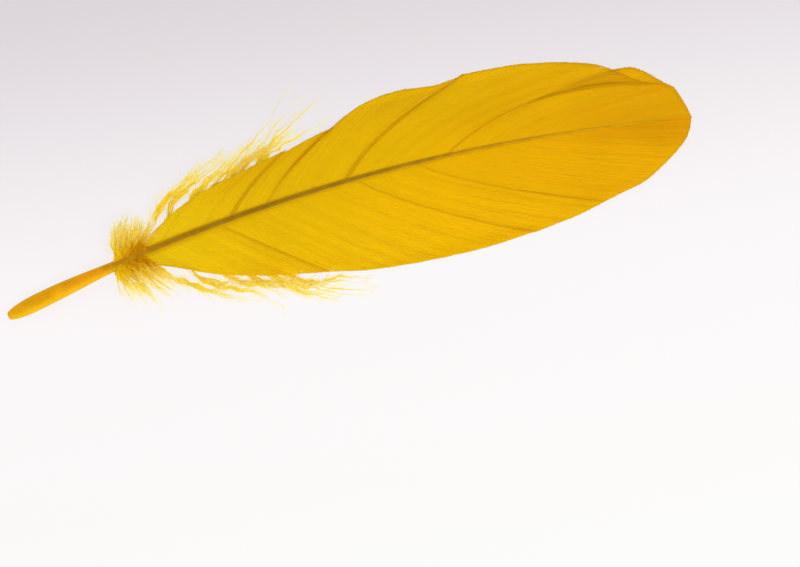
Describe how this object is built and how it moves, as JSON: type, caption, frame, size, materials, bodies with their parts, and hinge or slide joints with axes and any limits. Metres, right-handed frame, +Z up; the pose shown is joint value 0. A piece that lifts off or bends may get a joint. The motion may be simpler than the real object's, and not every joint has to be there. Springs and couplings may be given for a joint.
{
  "type": "feather",
  "caption": "Dyed bird feather lying flat: a round bare quill, a tapering shaft, two vanes of barbs with natural splits, and loose down at the base.",
  "frame": {"origin": "centre of the bounding box, on the surface the feather lies on", "axes": "+X along the feather from the quill towards the tip, +Z up, away from the surface it lies on"},
  "size_m": [0.1808, 0.0614, 0.0084],
  "materials": {
    "vane": "satin",
    "quill": "satin",
    "down": "matte"
  },
  "bodies": {
    "root": {"feather": "vane"}
  },
  "joints": []
}
